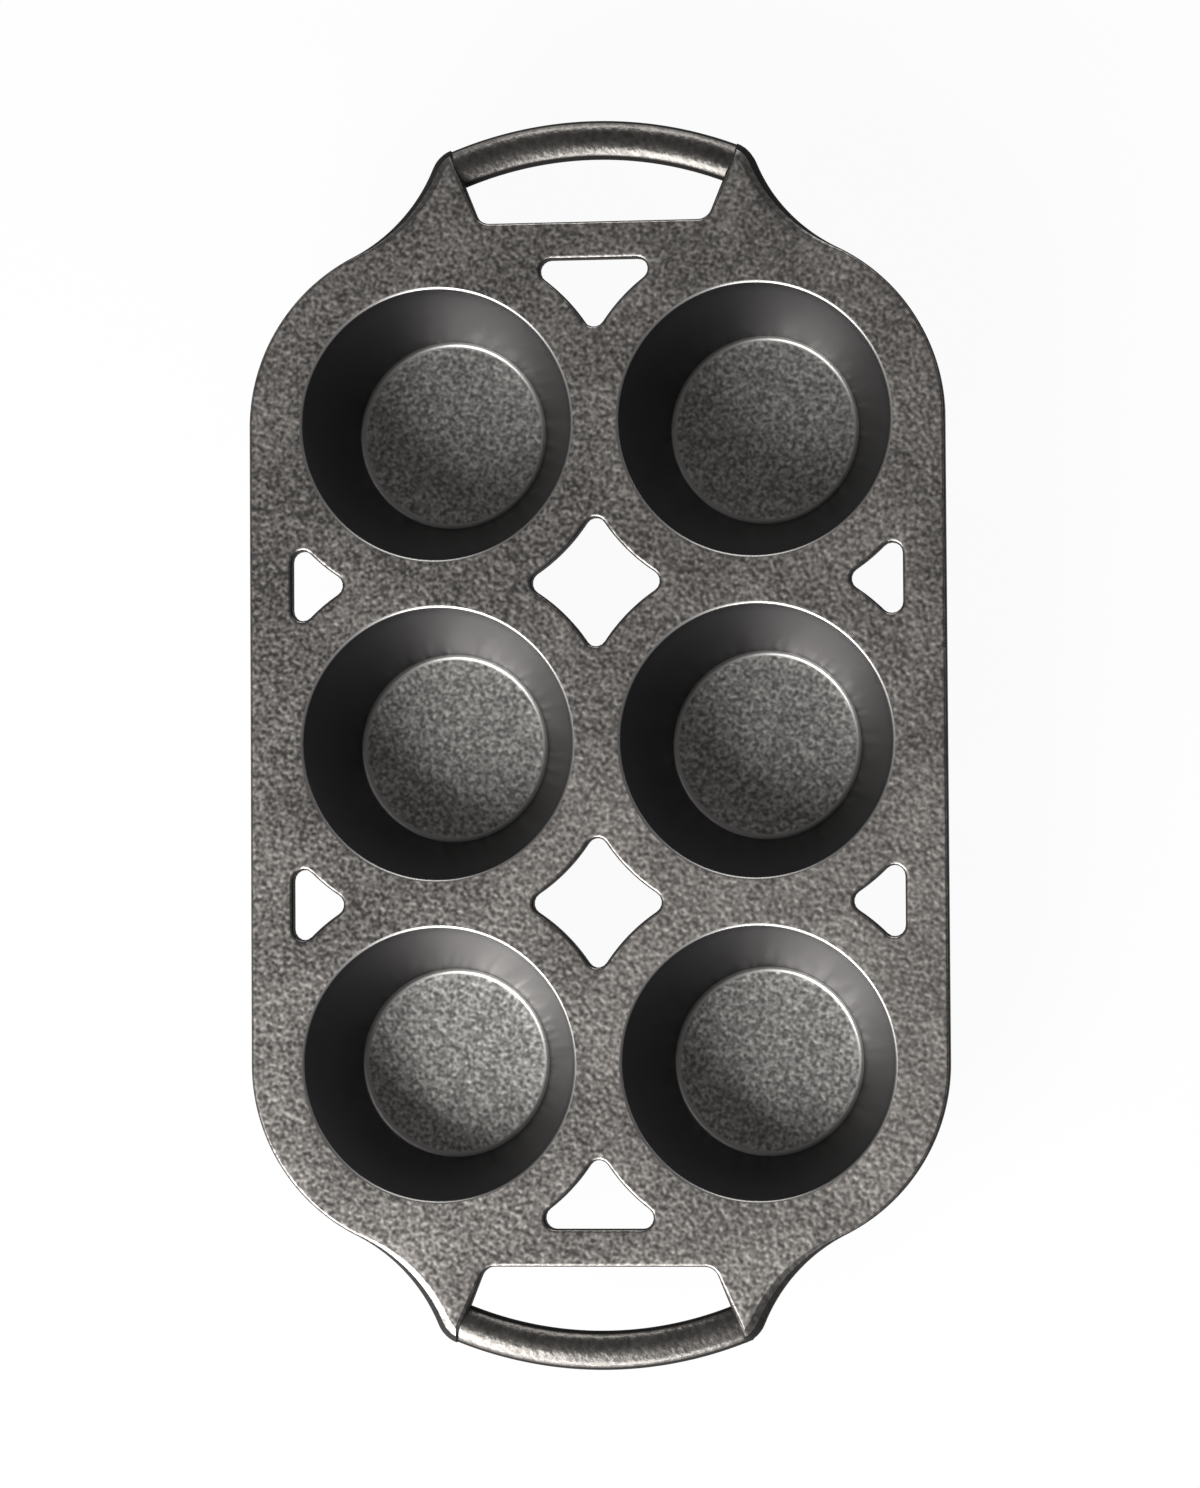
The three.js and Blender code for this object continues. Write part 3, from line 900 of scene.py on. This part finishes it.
def grip_finish():
    """Iron that hands have polished on top; the black at the sides and underneath is painted shade."""
    material, graph = new_material("grip_iron")
    grain = noise(graph, DECK_GRAIN, 1.0)
    top = facing_up(graph).between(0.56, 0.7)
    tone = noise(graph, GRIP_PATCHES, 2.0) * 0.5 + grain.between(0.25, 0.75) * 0.5
    worn = mixed_colour(graph, tone, *GRIP_WORN)
    # Painted shade: the sides and underside are black
    colour = mixed_colour(graph, top, GRIP_SHADE_BLACK, worn)
    metallic = top * 0.9
    roughness = 0.8 - top * 0.46
    skin(graph, colour, metallic, roughness, grain, depth=0.13 * MM, shine=0.15)
    return material


def table_material():
    """A white table that looks white itself and keeps a light shadow."""
    material, graph = new_material("white_table")
    material.cycles.emission_sampling = "NONE"
    paths = material.node_tree.nodes.new("ShaderNodeLightPath")
    seen = Wire(graph, paths.outputs["Is Camera Ray"])
    seen = seen.maths("MAXIMUM", seen, Wire(graph, paths.outputs["Is Glossy Ray"]))
    seen = seen.maths("MAXIMUM", seen, Wire(graph, paths.outputs["Is Transmission Ray"]))
    paper = graph.node("ShaderNodeBsdfDiffuse", None, {"Color": (TABLE_GREY, TABLE_GREY, TABLE_GREY, 1)})
    white = graph.node("ShaderNodeEmission", None, {"Color": (1, 1, 1, 1), "Strength": 1.0})
    shader = graph.node("ShaderNodeMixShader", None, {0: seen * TABLE_WHITENESS, 1: paper, 2: white})
    graph.node("ShaderNodeOutputMaterial", None, {"Surface": shader})
    return material


# Studio


def make_table():
    half = TABLE_HALF
    corners = [(-half, -half, 0), (half, -half, 0), (half, half, 0), (-half, half, 0)]
    mesh = bpy.data.meshes.new("table")
    mesh.from_pydata(corners, [], [(0, 1, 2, 3)])
    mesh.materials.append(table_material())
    table = bpy.data.objects.new("table", mesh)
    bpy.context.scene.collection.objects.link(table)


def make_camera():
    data = bpy.data.cameras.new("camera")
    data.sensor_fit = "VERTICAL"
    data.sensor_height = SENSOR_HEIGHT
    data.lens = CAMERA_LENS
    camera = bpy.data.objects.new("camera", data)
    back = (CAMERA_PLACE - CAMERA_AIM).normalized()
    up_hint = Vector((math.sin(CAMERA_ROLL), math.cos(CAMERA_ROLL), 0))
    right = up_hint.cross(back).normalized()
    up = back.cross(right)
    turn = Matrix((right, up, back)).transposed().to_4x4()
    camera.matrix_world = Matrix.Translation(CAMERA_PLACE) @ turn
    bpy.context.scene.collection.objects.link(camera)
    bpy.context.scene.camera = camera


def make_lamp(name, place, aim, width, height, power):
    data = bpy.data.lights.new(name, "AREA")
    data.shape = "RECTANGLE"
    data.size = width
    data.size_y = height
    data.energy = power
    lamp = bpy.data.objects.new(name, data)
    lamp.location = place
    lamp.rotation_euler = (Vector(aim) - Vector(place)).to_track_quat("-Z", "Y").to_euler()
    bpy.context.scene.collection.objects.link(lamp)


def make_lights():
    world = bpy.data.worlds.new("studio")
    bpy.context.scene.world = world
    world.use_nodes = True
    background = world.node_tree.nodes["Background"]
    background.inputs["Color"].default_value = (1, 1, 1, 1)
    background.inputs["Strength"].default_value = WORLD_STRENGTH
    make_lamp("key", place=(-0.426, -0.555, 0.466), aim=(0, -0.02, 0.03), width=0.56, height=0.56, power=11)
    make_lamp("front", place=(-0.15, -1.1, 0.28), aim=(0, -0.05, 0.03), width=0.7, height=0.3, power=8)
    make_lamp("rear", place=(0, 1.25, 0.32), aim=(0, 0, 0.03), width=0.9, height=0.3, power=5)


make_camera()
make_table()
make_lights()

deck_iron = deck_finish()
cup_iron = cup_finish()
grip_iron = grip_finish()

deck = make_deck([deck_iron, cup_iron, edge_finish()])
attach(deck, "root")
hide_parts("deck_plate")
for node, cup in make_cups(cup_iron).items():
    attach(cup, "root")
    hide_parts(node)
for node, grip in make_grips(grip_iron).items():
    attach(grip, "root")
    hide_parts(node)

bpy.context.scene.view_settings.view_transform = "Standard"
